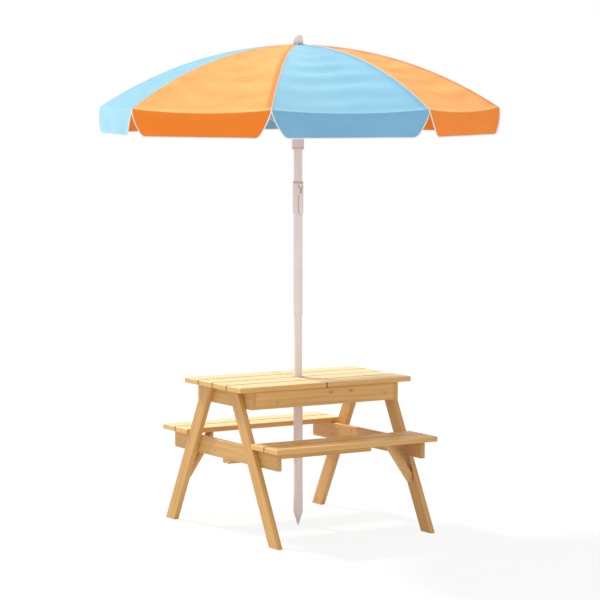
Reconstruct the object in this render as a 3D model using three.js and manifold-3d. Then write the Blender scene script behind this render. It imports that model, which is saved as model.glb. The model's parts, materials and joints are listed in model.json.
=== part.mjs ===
// Children's picnic table with a covered sand box and a folding parasol, in millimetres, +Z up.
// The origin is on the ground under the middle of the table. The front bench is on the -Y side.

import * as THREE from 'three';
import Module from 'manifold-3d';
import { mergeVertices } from 'three/addons/utils/BufferGeometryUtils.js';

const wasm = await Module();
wasm.setup();

// Boards in general
const boardThickness = 17;
const boardEase = 1.5;
const cutOverrun = 4;
const holeSides = 32;

// Tabletop, which is two lids that meet at the pole
const topLength = 660;
const topHeight = 500;
const topPlankWidth = 87.5;
const topPlankGap = 5;
const lidPlanks = 4;
const lidSeam = 3;
const notchClearance = 1.6;

// Sand box under the lids
const boxLength = 568;
const boxWidth = 352;
const boxHeight = 58;
const floorThickness = 8;
const floorRise = 6;
const dividerThickness = 12;
const poleChannel = 46;

// Battens under each lid, which drop inside the box
const battenWidth = 28;
const battenThickness = 12;
const battenClearance = 6;

// Legs, which slant outwards across the table
const legWidth = 51;
const legThickness = 18;
const footOverhang = 5;
const hipReach = 84;

// Benches
const benchLength = 615;
const benchPlankWidth = 79;
const benchPlankGap = 5;
const benchPlanks = 2;
const seatHeight = 321;
const benchLegGap = 3.475;

// Beams that carry the benches, and the stretcher that ties the beams
const beamLength = 674;
const beamHeight = 58;
const stretcherWidth = 44;
const stretcherThickness = 15;
const stretcherSetback = 6;

// Diagonal braces, one at each end of the table
const braceWidth = 38;
const braceFootHeight = 156;
const braceReach = 88;
const braceOffset = 245;
const braceAngle = THREE.MathUtils.degToRad(55);

// Ground spike and the three tubes of the pole
const spikeRadius = 15.6;
const spikeHeight = 113;
const spikeTipLength = 45;
const spikeTipRadius = 1.5;
const spigotLength = 30;
const tubeWall = 1;
const slidingGap = 0.3;
const lowerPoleRadius = 15.2;
const lowerPoleShoulder = 470;
const shoulderLength = 6;
const midPoleRadius = 13.5;
const outerPoleRadius = 15.5;
const outerPoleBottom = 709;
const outerPoleTop = 1100;
const tubeOverlap = 50;
const swageLength = 4;
const upperPoleRadius = 14.3;
const upperPoleBottom = 772;
const tubeSides = 24;
const guideClearance = 0.7;

// Clamp collar on top of the outer tube, with its flip lever
const collarRadius = 18;
const collarBottom = 1046;
const collarTop = 1152;
const collarRimRadius = 16.6;
const collarRimHeight = 4;
const leverRadius = 18.2;
const leverThickness = 2.2;
const leverHalfAngle = THREE.MathUtils.degToRad(31);
const leverGap = 0.6;
const leverBottom = 1040;
const leverShoulder = 1106;
const leverNeckWidth = 9.4;
const hingeHeight = 1116;
const hingeReach = 16.2;
const knuckleRadius = 1.4;
const hingeHoleRadius = 0.95;
const hingePinRadius = 0.65;
const hingePinLength = 13.6;
const smallSides = 12;
const arcSteps = 8;

// Canopy
const canopyTurn = THREE.MathUtils.degToRad(6.5);
const panels = 8;
const canopyRadius = 664;
const canopyApex = 1605;
const canopyRise = 207;
const canopyConeShare = 0.14;
const canopyCurveShare = 2.25;
const canopyHole = 8;
const fabricThickness = 1.2;
const panelSag = 12;
const rimSag = 12;
const flapDepth = 87;
const flapTaper = 43;
const flapCurveShare = 1.6;
const flapFlare = 8;
const flapWave = 2.5;
const flapWaves = 2;
const acrossCells = 4;
const outCells = 12;
const flapCells = 3;

// Ribs and struts of the folding frame
const ribRadius = 2.5;
const ribClearance = 2.2;
const ribPivotReach = 19;
const ribPivotDrop = 8.4;
const ribTipSetback = 7;
const ribPathShares = [0.07, 0.16, 0.28, 0.4, 0.52, 0.64, 0.76, 0.88];
const ribSteps = 14;
const eyeRadius = 3.4;
const eyeHoleRadius = 1.5;
const pivotPinRadius = 1.2;
const pinOverhang = 1;
const strutRadius = 2.2;
const strutOffset = 5.3;
const strutReach = 330;
const strutPivotDrop = 3.6;
const rodSides = 6;

// Crown that holds the ribs, and the finial above it
const crownRadius = 26;
const crownHeight = 17;
const crownCoreRadius = 12.8;
const crownSeat = 2.2;
const slotClearance = 0.5;
const finialRadius = 17.5;
const finialHeight = 32;
const finialStudRadius = 5;
const finialShares = [[1, 0], [1, 0.3], [0.96, 0.55], [0.8, 0.8], [0.5, 0.95], [0, 1]];

// Runner that slides on the pole and carries the struts
const runnerBore = 18.6;
const runnerRadius = 20.1;
const runnerDrop = 347;
const runnerDiscRise = 43;
const runnerDiscHeight = 18;
const runnerDiscRadius = 29;
const runnerFlangeRadius = 20.9;
const runnerFlangeHeight = 4.5;
const runnerPivotReach = 25;
const runnerPivotRise = 9;
const runnerSlotClearance = 2.6;

// Values that follow from the ones above
const lidUnderside = topHeight - boardThickness;
const topWidth = lidPlanks * topPlankWidth + (lidPlanks - 1) * topPlankGap;
const lidPlankLength = (topLength - lidSeam) / 2;
const boxBottom = lidUnderside - boxHeight;
const boxInnerLength = boxLength - 2 * boardThickness;
const boxInnerWidth = boxWidth - 2 * boardThickness;
const floorTop = boxBottom + floorRise + floorThickness;
const beamTop = seatHeight - boardThickness;
const beamBottom = beamTop - beamHeight;
const footReach = beamLength / 2 + footOverhang;
const legSlope = (footReach - hipReach) / lidUnderside;
const legHalfWidth = legWidth * Math.hypot(1, legSlope) / 2;
const benchInnerEdge = footReach + legHalfWidth - legSlope * beamTop + benchLegGap;
const benchReach = benchInnerEdge + benchPlanks * benchPlankWidth + (benchPlanks - 1) * benchPlankGap;
const guideRadius = lowerPoleRadius + guideClearance;
const notchRadius = outerPoleRadius + notchClearance;
const canopyAngle = 2 * Math.PI / panels;
const crownTop = canopyApex - canopyDrop(crownRadius) - fabricThickness - crownSeat;
const crownBottom = crownTop - crownHeight;
const ribPivotHeight = canopyApex - ribPivotDrop;
const runnerBottom = canopyApex - runnerDrop;
const runnerDiscBottom = runnerBottom + runnerDiscRise;
const runnerPivotHeight = runnerDiscBottom + runnerPivotRise;
const runnerSlotFloor = runnerPivotHeight - eyeRadius - runnerSlotClearance;

// Height that the canopy has lost at a distance from the pole: part cone, part curve
function canopyDrop(reach) {
  const share = reach / canopyRadius;
  return canopyRise * (canopyConeShare * share + (1 - canopyConeShare) * share ** canopyCurveShare);
}

// Slope of the canopy at a distance from the pole
function canopySlope(reach) {
  const curve = canopyCurveShare * (reach / canopyRadius) ** (canopyCurveShare - 1);
  return canopyRise / canopyRadius * (canopyConeShare + (1 - canopyConeShare) * curve);
}

// Materials
const pine = new THREE.MeshStandardMaterial({ color: 0xd3a566, roughness: 0.62, metalness: 0 });
const plywood = new THREE.MeshStandardMaterial({ color: 0xcaa069, roughness: 0.7, metalness: 0 });
const polePaint = new THREE.MeshStandardMaterial({ color: 0xdccbc6, roughness: 0.35, metalness: 0.1 });
const frameSteel = new THREE.MeshStandardMaterial({ color: 0xd5d3d0, roughness: 0.4, metalness: 0.6 });
const fitting = new THREE.MeshStandardMaterial({ color: 0xddd0cb, roughness: 0.5, metalness: 0 });
const cloth = new THREE.MeshStandardMaterial({ color: 0xf08a35, roughness: 0.85, metalness: 0 });

const table = new THREE.Group();

// Adds one named piece to a group
function piece(parent, name, geometry, material) {
  const mesh = new THREE.Mesh(geometry, material);
  mesh.name = name;
  parent.add(mesh);
  return mesh;
}

// Solid for cutting and joining, made from a closed geometry
function solid(geometry) {
  const bare = geometry.clone();
  bare.deleteAttribute('normal');
  bare.deleteAttribute('uv');
  const merged = mergeVertices(bare);
  return new wasm.Manifold(new wasm.Mesh({
    numProp: 3,
    vertProperties: new Float32Array(merged.attributes.position.array),
    triVerts: new Uint32Array(merged.index.array),
  }));
}

// Geometry of a cut or joined solid
function geometryOf(body) {
  const mesh = body.getMesh();
  const geometry = new THREE.BufferGeometry();
  geometry.setAttribute('position', new THREE.BufferAttribute(mesh.vertProperties, mesh.numProp));
  geometry.setIndex(new THREE.BufferAttribute(mesh.triVerts, 1));
  geometry.computeVertexNormals();
  return geometry;
}

// Flat board from its outline, with eased edges, from z = 0 up to its thickness
function board(shape, thickness) {
  const geometry = new THREE.ExtrudeGeometry(shape, {
    depth: thickness - 2 * boardEase,
    bevelEnabled: true,
    bevelThickness: boardEase,
    bevelSize: boardEase,
    bevelOffset: -boardEase,
    bevelSegments: 1,
    curveSegments: holeSides / 2,
  });
  return geometry.translate(0, 0, boardEase);
}

// Outline with straight sides through the given corners
function outline(corners) {
  return new THREE.Shape(corners.map(([x, y]) => new THREE.Vector2(x, y)));
}

// Rectangle about its middle
function rectangle(width, height) {
  return outline([
    [-width / 2, -height / 2],
    [width / 2, -height / 2],
    [width / 2, height / 2],
    [-width / 2, height / 2],
  ]);
}

// Round rod or hole along Z, about its middle
function rod(radius, length, sides) {
  return new THREE.CylinderGeometry(radius, radius, length, sides).rotateX(Math.PI / 2);
}

// Piece turned about Z from a closed profile of radius and height, given anticlockwise
function turned(profile, sides) {
  const points = profile.map(([radius, height]) => new THREE.Vector2(radius, height));
  return new THREE.LatheGeometry(points, sides).rotateX(Math.PI / 2);
}

// Tube between two heights
function tube(radius, bore, bottom, top, sides) {
  return turned([[bore, bottom], [radius, bottom], [radius, top], [bore, top], [bore, bottom]], sides);
}

// Board lying flat with its middle at (x, y) and its underside at a height
function flatBoard(parent, name, length, width, x, y, bottom) {
  const mesh = piece(parent, name, board(rectangle(length, width), boardThickness), pine);
  mesh.position.set(x, y, bottom);
  return mesh;
}

// Board standing on edge across the table, with its faces towards -X and +X
function crossBoard(parent, name, width, height, thickness, x, bottom, material) {
  const mesh = piece(parent, name, board(rectangle(width, height), thickness), material);
  mesh.rotation.set(Math.PI / 2, 0, Math.PI / 2, 'ZYX');
  mesh.position.set(x, 0, bottom + height / 2);
  return mesh;
}

// Lids

// Plank with a round notch for the pole at the corner nearest the middle of the table
function notchedPlank(corner) {
  const plank = solid(board(rectangle(lidPlankLength, topPlankWidth), boardThickness));
  const cutter = rod(notchRadius, boardThickness + 2 * cutOverrun, holeSides);
  cutter.translate(corner.x, corner.y, boardThickness / 2);
  return geometryOf(plank.subtract(solid(cutter)));
}

function buildLid(side, sign) {
  const lid = new THREE.Group();
  const middle = sign * (lidSeam + lidPlankLength) / 2;
  for (let index = 0; index < lidPlanks; index += 1) {
    const y = (index - (lidPlanks - 1) / 2) * (topPlankWidth + topPlankGap);
    const name = `${side}_lid_plank_${index + 1}`;
    if (Math.abs(y) < topPlankWidth) {
      const plank = piece(lid, name, notchedPlank({ x: -middle, y: -y }), pine);
      plank.position.set(middle, y, lidUnderside);
    } else {
      flatBoard(lid, name, lidPlankLength, topPlankWidth, middle, y, lidUnderside);
    }
  }
  const battenLength = boxInnerWidth - 2 * battenClearance;
  const outer = boxInnerLength / 2 - battenClearance - battenWidth / 2;
  const inner = poleChannel / 2 + dividerThickness + battenClearance + battenWidth / 2;
  const places = { outer, inner };
  for (const [place, reach] of Object.entries(places)) {
    const shape = rectangle(battenWidth, battenLength);
    const batten = piece(lid, `${side}_lid_${place}_batten`, board(shape, battenThickness), pine);
    batten.position.set(sign * reach, 0, lidUnderside - battenThickness);
  }
  table.add(lid);
}

buildLid('left', -1);
buildLid('right', 1);

// Sand box
function buildBox() {
  const sideReach = boxInnerLength / 2;
  crossBoard(table, 'left_side_board', boxWidth, boxHeight, boardThickness, -boxLength / 2, boxBottom, pine);
  crossBoard(table, 'right_side_board', boxWidth, boxHeight, boardThickness, sideReach, boxBottom, pine);
  const panelShape = rectangle(boxInnerLength, boxHeight);
  const panelPlaces = { front: -boxInnerWidth / 2, rear: boxWidth / 2 };
  for (const [place, y] of Object.entries(panelPlaces)) {
    const panel = piece(table, `${place}_panel`, board(panelShape, boardThickness), pine);
    panel.rotation.x = Math.PI / 2;
    panel.position.set(0, y, boxBottom + boxHeight / 2);
  }
  const floorShape = rectangle(boxInnerLength, boxInnerWidth);
  const floorHole = new THREE.Path();
  floorHole.absarc(0, 0, guideRadius, 0, 2 * Math.PI, true);
  floorShape.holes.push(floorHole);
  const floor = piece(table, 'sandbox_floor', board(floorShape, floorThickness), plywood);
  floor.position.z = boxBottom + floorRise;
  const dividerHeight = lidUnderside - floorTop;
  const dividerPlaces = { left: -poleChannel / 2 - dividerThickness, right: poleChannel / 2 };
  for (const [place, x] of Object.entries(dividerPlaces)) {
    crossBoard(table, `${place}_divider`, boxInnerWidth, dividerHeight, dividerThickness, x, floorTop, pine);
  }
}

buildBox();

// Legs
function buildLegs() {
  for (const [depth, sign] of Object.entries({ front: -1, rear: 1 })) {
    const corners = [
      [sign * (footReach - legHalfWidth), 0],
      [sign * (footReach + legHalfWidth), 0],
      [sign * (hipReach + legHalfWidth), lidUnderside],
      [sign * (hipReach - legHalfWidth), lidUnderside],
    ];
    const shape = outline(sign > 0 ? corners : corners.reverse());
    const places = { left: -boxLength / 2 - legThickness, right: boxLength / 2 };
    for (const [side, x] of Object.entries(places)) {
      const leg = piece(table, `${depth}_${side}_leg`, board(shape, legThickness), pine);
      leg.rotation.set(Math.PI / 2, 0, Math.PI / 2, 'ZYX');
      leg.position.x = x;
    }
  }
}

buildLegs();

// Beams, stretcher and benches
function buildBenches() {
  const beamX = boxInnerLength / 2;
  crossBoard(table, 'left_beam', beamLength, beamHeight, boardThickness, -boxLength / 2, beamBottom, pine);
  crossBoard(table, 'right_beam', beamLength, beamHeight, boardThickness, beamX, beamBottom, pine);
  const stretcherShape = rectangle(boxLength - 2 * stretcherSetback, stretcherWidth);
  const guideHole = new THREE.Path();
  guideHole.absarc(0, 0, guideRadius, 0, 2 * Math.PI, true);
  stretcherShape.holes.push(guideHole);
  const stretcher = piece(table, 'stretcher', board(stretcherShape, stretcherThickness), pine);
  stretcher.position.z = beamBottom - stretcherThickness;
  const names = ['outer', 'inner'];
  for (const [depth, sign] of Object.entries({ front: -1, rear: 1 })) {
    for (let index = 0; index < benchPlanks; index += 1) {
      const reach = benchReach - benchPlankWidth / 2 - index * (benchPlankWidth + benchPlankGap);
      const name = `${depth}_bench_${names[index]}_plank`;
      flatBoard(table, name, benchLength, benchPlankWidth, 0, sign * reach, beamTop);
    }
  }
}

buildBenches();

// Braces from a leg's inner face up to the underside of the bench
function buildBrace(name, xSign, ySign) {
  const run = 1 / Math.tan(braceAngle);
  const rise = boardThickness / Math.cos(braceAngle);
  const foot = boxLength / 2;
  const nose = foot - braceReach;
  const corners = [
    [foot, braceFootHeight],
    [foot, braceFootHeight + rise],
    [foot - (beamTop - braceFootHeight - rise) * run, beamTop],
    [nose, beamTop],
    [nose, braceFootHeight + braceReach / run],
  ].map(([x, z]) => [xSign * x, z]);
  const shape = outline(xSign > 0 ? corners : corners.reverse());
  const brace = piece(table, name, board(shape, braceWidth), pine);
  brace.rotation.x = Math.PI / 2;
  brace.position.y = ySign * braceOffset + braceWidth / 2;
}

buildBrace('front_right_brace', 1, -1);
buildBrace('rear_left_brace', -1, 1);

// Pole
const parasol = new THREE.Group();
table.add(parasol);

function buildPole() {
  const spigotRadius = lowerPoleRadius - tubeWall - slidingGap;
  piece(parasol, 'ground_spike', turned([
    [0, 0],
    [spikeTipRadius, 0],
    [spikeRadius, spikeTipLength],
    [spikeRadius, spikeHeight],
    [spigotRadius, spikeHeight],
    [spigotRadius, spikeHeight + spigotLength],
    [0, spikeHeight + spigotLength],
  ], tubeSides), fitting);
  const lowerBottom = spikeHeight + slidingGap;
  const shoulderTop = lowerPoleShoulder + shoulderLength;
  const swageRadius = outerPoleRadius - tubeWall - slidingGap;
  const swageBottom = outerPoleBottom + slidingGap;
  const lowerTop = outerPoleBottom + tubeOverlap;
  piece(parasol, 'lower_pole', turned([
    [lowerPoleRadius - tubeWall, lowerBottom],
    [lowerPoleRadius, lowerBottom],
    [lowerPoleRadius, lowerPoleShoulder],
    [midPoleRadius, shoulderTop],
    [midPoleRadius, swageBottom],
    [swageRadius, swageBottom + swageLength],
    [swageRadius, lowerTop],
    [midPoleRadius - tubeWall, lowerTop],
    [midPoleRadius - tubeWall, shoulderTop],
    [lowerPoleRadius - tubeWall, lowerPoleShoulder],
    [lowerPoleRadius - tubeWall, lowerBottom],
  ], tubeSides), polePaint);
  const outerBore = outerPoleRadius - tubeWall;
  piece(parasol, 'outer_pole', tube(outerPoleRadius, outerBore, outerPoleBottom, outerPoleTop, tubeSides),
    polePaint);
  const upperBore = upperPoleRadius - tubeWall;
  const upperTop = crownBottom - slidingGap;
  piece(parasol, 'upper_pole', tube(upperPoleRadius, upperBore, upperPoleBottom, upperTop, tubeSides),
    polePaint);
}

buildPole();

// Sector of a ring about the pole, centred on the -Y side, between two heights
function ringSector(bore, radius, halfAngle, bottom, top) {
  const shape = new THREE.Shape();
  const middle = -Math.PI / 2;
  shape.absarc(0, 0, radius, middle - halfAngle, middle + halfAngle, false);
  shape.absarc(0, 0, bore, middle + halfAngle, middle - halfAngle, true);
  const depth = top - bottom;
  const geometry = new THREE.ExtrudeGeometry(shape, { depth, bevelEnabled: false, curveSegments: arcSteps });
  return geometry.translate(0, 0, bottom);
}

// Block on the -Y side of the pole
function frontBlock(width, bore, radius, bottom, top) {
  const geometry = new THREE.BoxGeometry(width, radius - bore, top - bottom);
  return geometry.translate(0, -(radius + bore) / 2, (top + bottom) / 2);
}

// Rod along X at the hinge of the lever
function hingeRod(radius, length) {
  const geometry = new THREE.CylinderGeometry(radius, radius, length, smallSides);
  return geometry.rotateZ(Math.PI / 2).translate(0, -hingeReach, hingeHeight);
}

function buildClamp() {
  const upperFit = upperPoleRadius + slidingGap;
  const outerFit = outerPoleRadius + slidingGap;
  const step = outerPoleTop + slidingGap;
  const sleeve = solid(turned([
    [outerFit, collarBottom],
    [collarRadius, collarBottom],
    [collarRadius, collarTop - collarRimHeight],
    [collarRimRadius, collarTop - collarRimHeight],
    [collarRimRadius, collarTop],
    [upperFit, collarTop],
    [upperFit, step],
    [outerFit, step],
    [outerFit, collarBottom],
  ], tubeSides));
  const windowAngle = leverHalfAngle + leverGap / collarRadius;
  const wide = solid(ringSector(
    upperPoleRadius, leverRadius + cutOverrun, windowAngle,
    collarBottom - cutOverrun, leverShoulder + leverGap,
  ));
  const neckTop = hingeHeight + knuckleRadius + leverGap;
  const narrow = solid(frontBlock(
    leverNeckWidth + 2 * leverGap, upperPoleRadius, leverRadius + cutOverrun, collarBottom, neckTop,
  ));
  const hole = solid(hingeRod(hingeHoleRadius, hingePinLength + leverGap));
  const collar = sleeve.subtract(wide).subtract(narrow).subtract(hole);
  piece(parasol, 'clamp_collar', geometryOf(collar), fitting);

  const leverBore = leverRadius - leverThickness;
  const blade = solid(ringSector(leverBore, leverRadius, leverHalfAngle, leverBottom, leverShoulder));
  const neckBore = hingeReach - knuckleRadius / 2;
  const neckBottom = leverShoulder - leverThickness;
  const neck = solid(frontBlock(leverNeckWidth, neckBore, leverRadius - leverGap, neckBottom, hingeHeight));
  const knuckle = solid(hingeRod(knuckleRadius, leverNeckWidth));
  const eye = solid(hingeRod(hingeHoleRadius, leverNeckWidth + cutOverrun));
  const lever = blade.add(neck).add(knuckle).subtract(eye);
  piece(parasol, 'clamp_lever', geometryOf(lever), fitting);
  piece(parasol, 'clamp_pin', hingeRod(hingePinRadius, hingePinLength), frameSteel);
}

buildClamp();

// Pin across a rod's plane, with its middle at (reach, offset) and a height
function crossPin(radius, length, reach, offset, height) {
  const geometry = new THREE.CylinderGeometry(radius, radius, length, smallSides);
  return geometry.translate(reach, offset, height);
}

// Radial slots at the ribs, moved sideways by an offset, each with a pivot pin across it
function addPivots(body, width, offset, inner, outer, bottom, top, pinReach, pinHeight) {
  let hub = body;
  for (let index = 0; index < panels; index += 1) {
    const turn = canopyTurn + index * canopyAngle;
    const slot = new THREE.BoxGeometry(outer - inner, width, top - bottom);
    slot.translate((outer + inner) / 2, offset, (top + bottom) / 2);
    const pin = crossPin(pivotPinRadius, width + 2 * pinOverhang, pinReach, offset, pinHeight);
    hub = hub.subtract(solid(slot.rotateZ(turn))).add(solid(pin.rotateZ(turn)));
  }
  return hub;
}

function buildCrown() {
  const spigotRadius = upperPoleRadius - tubeWall - slidingGap;
  const body = solid(turned([
    [0, crownBottom - spigotLength],
    [spigotRadius, crownBottom - spigotLength],
    [spigotRadius, crownBottom],
    [crownRadius, crownBottom],
    [crownRadius, crownTop],
    [0, crownTop],
  ], tubeSides));
  const slotWidth = 2 * (ribRadius + slotClearance);
  const crown = addPivots(
    body, slotWidth, 0, crownCoreRadius, crownRadius + cutOverrun,
    crownBottom - cutOverrun, crownTop + cutOverrun, ribPivotReach, ribPivotHeight,
  );
  piece(parasol, 'crown', geometryOf(crown), fitting);

  const base = canopyApex + slidingGap;
  const dome = finialShares.map(([across, up]) => [across * finialRadius, base + up * finialHeight]);
  const studBottom = crownTop + slidingGap;
  const profile = [[0, studBottom], [finialStudRadius, studBottom], [finialStudRadius, base], ...dome];
  piece(parasol, 'finial', turned(profile, tubeSides), fitting);
}

buildCrown();

function buildRunner() {
  const flangeTop = runnerBottom + runnerFlangeHeight;
  const discTop = runnerDiscBottom + runnerDiscHeight;
  const body = solid(turned([
    [runnerBore, runnerBottom],
    [runnerFlangeRadius, runnerBottom],
    [runnerFlangeRadius, flangeTop],
    [runnerRadius, flangeTop],
    [runnerRadius, runnerDiscBottom],
    [runnerDiscRadius, runnerDiscBottom],
    [runnerDiscRadius, discTop],
    [runnerBore, discTop],
    [runnerBore, runnerBottom],
  ], holeSides));
  const slotWidth = 2 * (strutRadius + slotClearance);
  const slotInner = runnerPivotReach - eyeRadius - slotClearance;
  const runner = addPivots(
    body, slotWidth, strutOffset, slotInner, runnerDiscRadius + cutOverrun,
    runnerSlotFloor, discTop + cutOverrun, runnerPivotReach, runnerPivotHeight,
  );
  piece(parasol, 'runner', geometryOf(runner), fitting);
}

buildRunner();

// Height of a rib's centre line, which lies just under the cloth
function ribHeight(reach) {
  return canopyApex - canopyDrop(reach) - fabricThickness - ribClearance - ribRadius;
}

// Rod with an eye at the given ends, drilled for a pivot pin
function eyeRod(points, radius, steps, ends) {
  const width = 2 * radius;
  let rodBody = sweptRod(points, radius, steps);
  for (const [reach, height] of ends) {
    const eye = solid(crossPin(eyeRadius, width, reach, 0, height));
    const hole = solid(crossPin(eyeHoleRadius, width + cutOverrun, reach, 0, height));
    rodBody = rodBody.add(eye).subtract(hole);
  }
  return rodBody;
}

// Rod swept along a path in the XZ plane
function sweptRod(points, radius, steps) {
  const path = new THREE.CatmullRomCurve3(points.map(([x, z]) => new THREE.Vector3(x, 0, z)));
  const section = new THREE.Shape();
  section.absarc(0, 0, radius, 0, 2 * Math.PI, false);
  const geometry = new THREE.ExtrudeGeometry(section, {
    steps,
    curveSegments: rodSides / 2,
    extrudePath: path,
  });
  return solid(geometry);
}

function buildFoldingFrame() {
  const tip = canopyRadius - ribTipSetback;
  const path = [
    [ribPivotReach, ribPivotHeight],
    ...ribPathShares.map((share) => [share * canopyRadius, ribHeight(share * canopyRadius)]),
    [tip, ribHeight(tip)],
  ];
  const joint = [strutReach, ribHeight(strutReach) - strutPivotDrop];
  const lug = solid(crossPin(eyeRadius, 2 * ribRadius, joint[0], 0, joint[1]));
  const pinEnd = strutOffset + strutRadius + pinOverhang;
  const pin = solid(crossPin(pivotPinRadius, pinEnd, joint[0], pinEnd / 2, joint[1]));
  const rib = geometryOf(eyeRod(path, ribRadius, ribSteps, [path[0]]).add(lug).add(pin));
  const strutEnds = [[runnerPivotReach, runnerPivotHeight], joint];
  const strut = geometryOf(eyeRod(strutEnds, strutRadius, 1, strutEnds));
  strut.translate(0, strutOffset, 0);

  for (let index = 0; index < panels; index += 1) {
    const spoke = new THREE.Group();
    spoke.rotation.z = canopyTurn + index * canopyAngle;
    piece(spoke, `rib_${index + 1}`, rib, frameSteel);
    piece(spoke, `strut_${index + 1}`, strut, frameSteel);
    parasol.add(spoke);
  }
}

buildFoldingFrame();

// Canopy, one closed sheet: a dome of panels that sag between the ribs, and a hanging flap on each panel

// Point on the outside of a panel, from the hole (out = 0) to the rim (out = 1)
function panelPoint(panel, across, out) {
  const reach = canopyHole + (canopyRadius - canopyHole) * out;
  const from = canopyTurn + panel * canopyAngle;
  const to = from + canopyAngle;
  const bow = 4 * across * (1 - across);
  const x = reach * ((1 - across) * Math.cos(from) + across * Math.cos(to));
  const y = reach * ((1 - across) * Math.sin(from) + across * Math.sin(to));
  const sag = bow * (panelSag * Math.sin(Math.PI * out) + rimSag * out ** 2);
  return new THREE.Vector3(x, y, canopyApex - canopyDrop(reach) - sag);
}

// Outward direction of the dome at a point
function domeNormal(point, out) {
  const slope = canopySlope(Math.hypot(point.x, point.y));
  const flat = new THREE.Vector3(point.x, point.y, 0).normalize();
  const normal = flat.clone().multiplyScalar(slope).setZ(1).normalize();
  return out < 1 ? normal : normal.add(flat).normalize();
}

// Outward direction of a flap
function flapNormal(panel) {
  const middle = canopyTurn + (panel + 1 / 2) * canopyAngle;
  return new THREE.Vector3(Math.cos(middle), Math.sin(middle), 0);
}

// Point on the outside of a flap, from the sagging rim (down = 0) to its level hem (down = 1):
// it stands out a little from the rim and narrows towards the hem
function flapPoint(panel, across, down) {
  const rimWidth = 2 * canopyRadius * Math.sin(canopyAngle / 2);
  const taper = flapTaper * down ** flapCurveShare;
  const narrowed = 1 / 2 + (across - 1 / 2) * (1 - 2 * taper / rimWidth);
  const point = panelPoint(panel, narrowed, 1);
  const rim = panelPoint(panel, across, 1);
  const flare = flapFlare * (1 - (1 - down) ** 3);
  const wave = flapWave * down * Math.sin(2 * Math.PI * flapWaves * across);
  const hem = canopyApex - canopyRise - flapDepth;
  return point.setZ(rim.z + (hem - rim.z) * down).addScaledVector(flapNormal(panel), flare + wave);
}

function buildCanopy() {
  const positions = [];
  const triangles = [];
  const columns = panels * acrossCells;

  // Adds a point on the outside and the one behind it; the inner index is the outer one plus 1
  function addPair(point, normal) {
    const index = positions.length / 3;
    positions.push(...point.toArray());
    positions.push(...point.clone().addScaledVector(normal, -fabricThickness).toArray());
    return index;
  }

  // Two triangles through four corners that run anticlockwise seen from outside
  function quad(a, b, c, d) {
    triangles.push(a, b, c, a, c, d);
  }

  // A patch of cloth between four outside points, with its inner face
  function patch(a, b, c, d) {
    quad(a, b, c, d);
    quad(d + 1, c + 1, b + 1, a + 1);
  }

  // A cloth edge that closes the sheet from one outside point to the next
  function edge(a, b) {
    quad(b, a, a + 1, b + 1);
  }

  const dome = [];
  for (let row = 0; row <= outCells; row += 1) {
    const out = row / outCells;
    const ring = [];
    for (let column = 0; column < columns; column += 1) {
      const panel = Math.floor(column / acrossCells);
      const point = panelPoint(panel, (column % acrossCells) / acrossCells, out);
      ring.push(addPair(point, domeNormal(point, out)));
    }
    dome.push(ring);
  }
  for (let row = 0; row < outCells; row += 1) {
    for (let column = 0; column < columns; column += 1) {
      const next = (column + 1) % columns;
      patch(dome[row][column], dome[row + 1][column], dome[row + 1][next], dome[row][next]);
    }
  }
  for (let column = 0; column < columns; column += 1) {
    edge(dome[0][(column + 1) % columns], dome[0][column]);
  }

  for (let panel = 0; panel < panels; panel += 1) {
    const first = panel * acrossCells;
    let above = [];
    for (let step = 0; step <= acrossCells; step += 1) {
      above.push(dome[outCells][(first + step) % columns]);
    }
    for (let row = 1; row <= flapCells; row += 1) {
      const below = [];
      for (let step = 0; step <= acrossCells; step += 1) {
        const point = flapPoint(panel, step / acrossCells, row / flapCells);
        below.push(addPair(point, flapNormal(panel)));
      }
      for (let step = 0; step < acrossCells; step += 1) {
        patch(above[step], below[step], below[step + 1], above[step + 1]);
      }
      edge(above[0], below[0]);
      edge(below[acrossCells], above[acrossCells]);
      above = below;
    }
    for (let step = 0; step < acrossCells; step += 1) {
      edge(above[step], above[step + 1]);
    }
  }

  const geometry = new THREE.BufferGeometry();
  geometry.setAttribute('position', new THREE.Float32BufferAttribute(positions, 3));
  geometry.setIndex(triangles);
  geometry.computeVertexNormals();
  piece(parasol, 'canopy', geometry, cloth);
}

buildCanopy();

export default table;
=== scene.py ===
"""Children's picnic table with a covered sand box and a folding parasol, over its CAD frame.

Metres, +Z up. The origin is on the ground under the middle of the table, the front bench on -Y.
"""
import json
import math

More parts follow.
